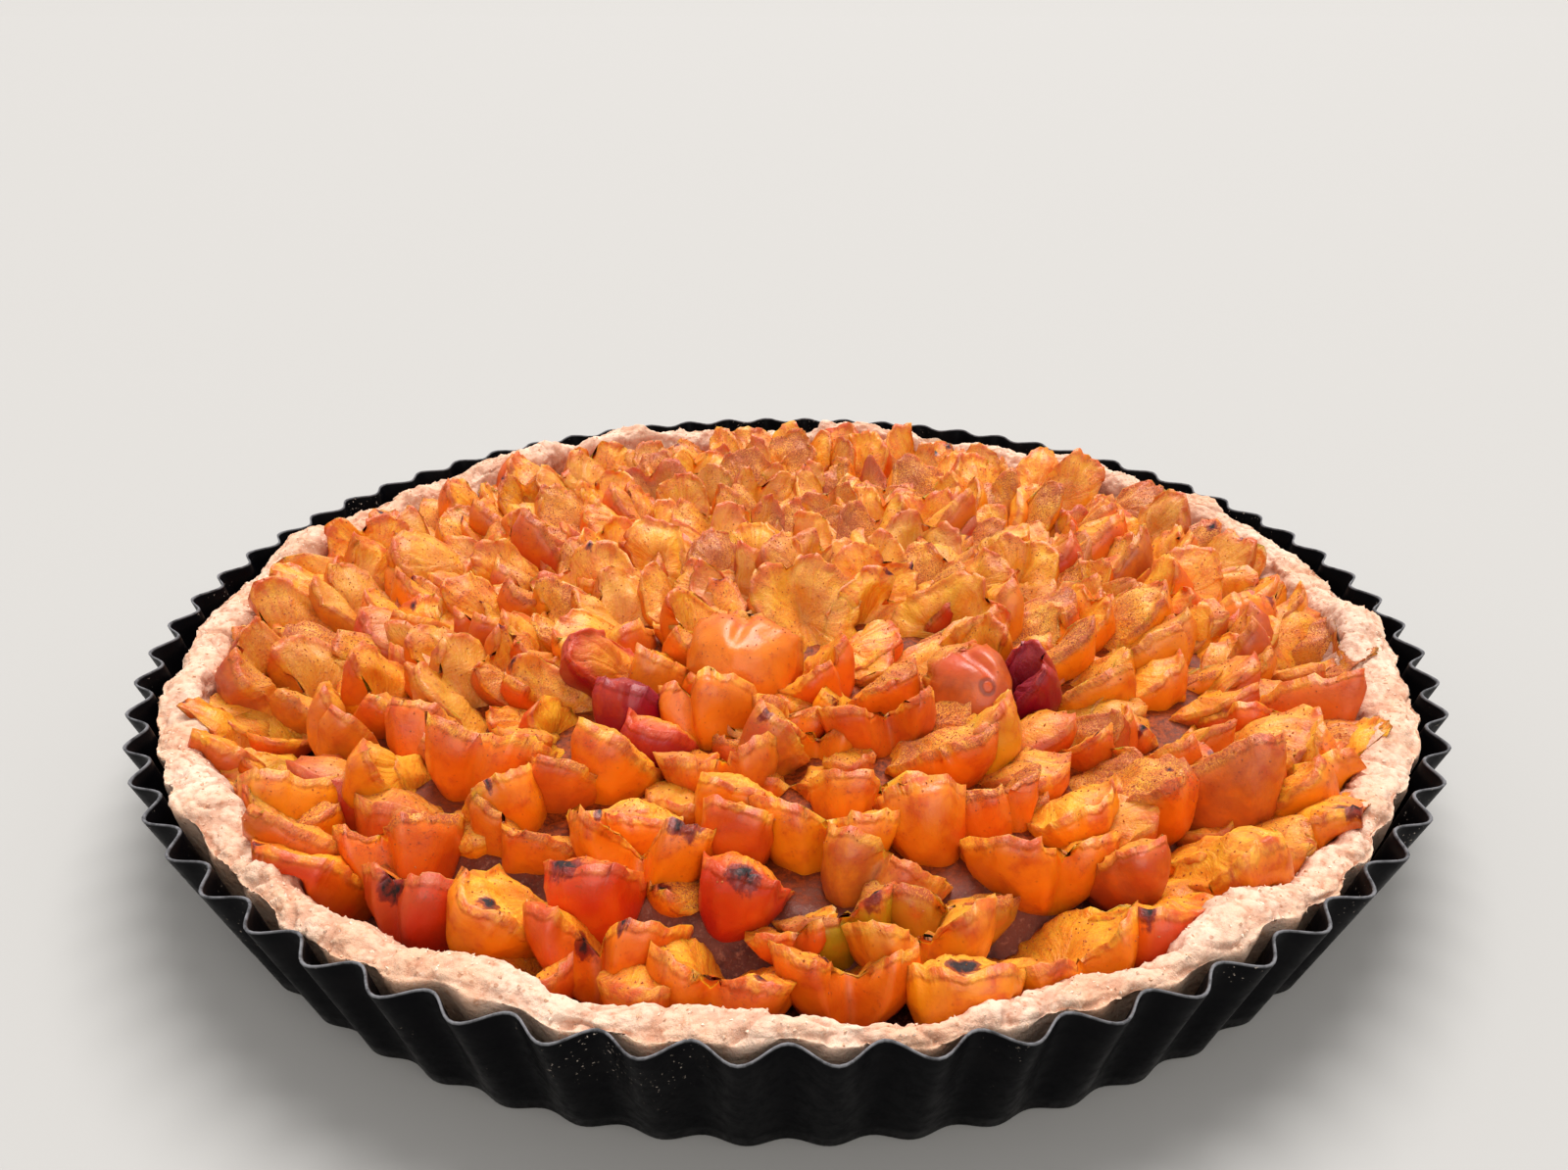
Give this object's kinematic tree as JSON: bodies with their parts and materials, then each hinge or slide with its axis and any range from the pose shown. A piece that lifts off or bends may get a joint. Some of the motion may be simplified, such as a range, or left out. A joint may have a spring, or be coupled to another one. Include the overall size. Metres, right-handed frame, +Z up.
{
  "type": "plum tart",
  "caption": "Round baked tart of split yellow plums standing in rings, in a shortcrust case with a hand-pinched rim, in its own dark fluted tin.",
  "frame": {"origin": "middle of the tin's underside, on the surface it stands on", "axes": "+Z up, along the tin's axis; -Y towards the person who looks at the tart in the picture"},
  "size_m": [0.3, 0.2996, 0.0378],
  "materials": {
    "coated_steel": "satin dark non-stick coating, grey and worn at the edge",
    "baked_pastry": "matt baked shortcrust, crumbly, lightly floured",
    "baked_plum": "soft baked fruit, moist, with charred tips and cinnamon"
  },
  "bodies": {
    "root": {"tin": "coated_steel", "pastry": "baked_pastry", "plums": "baked_plum"}
  },
  "joints": []
}
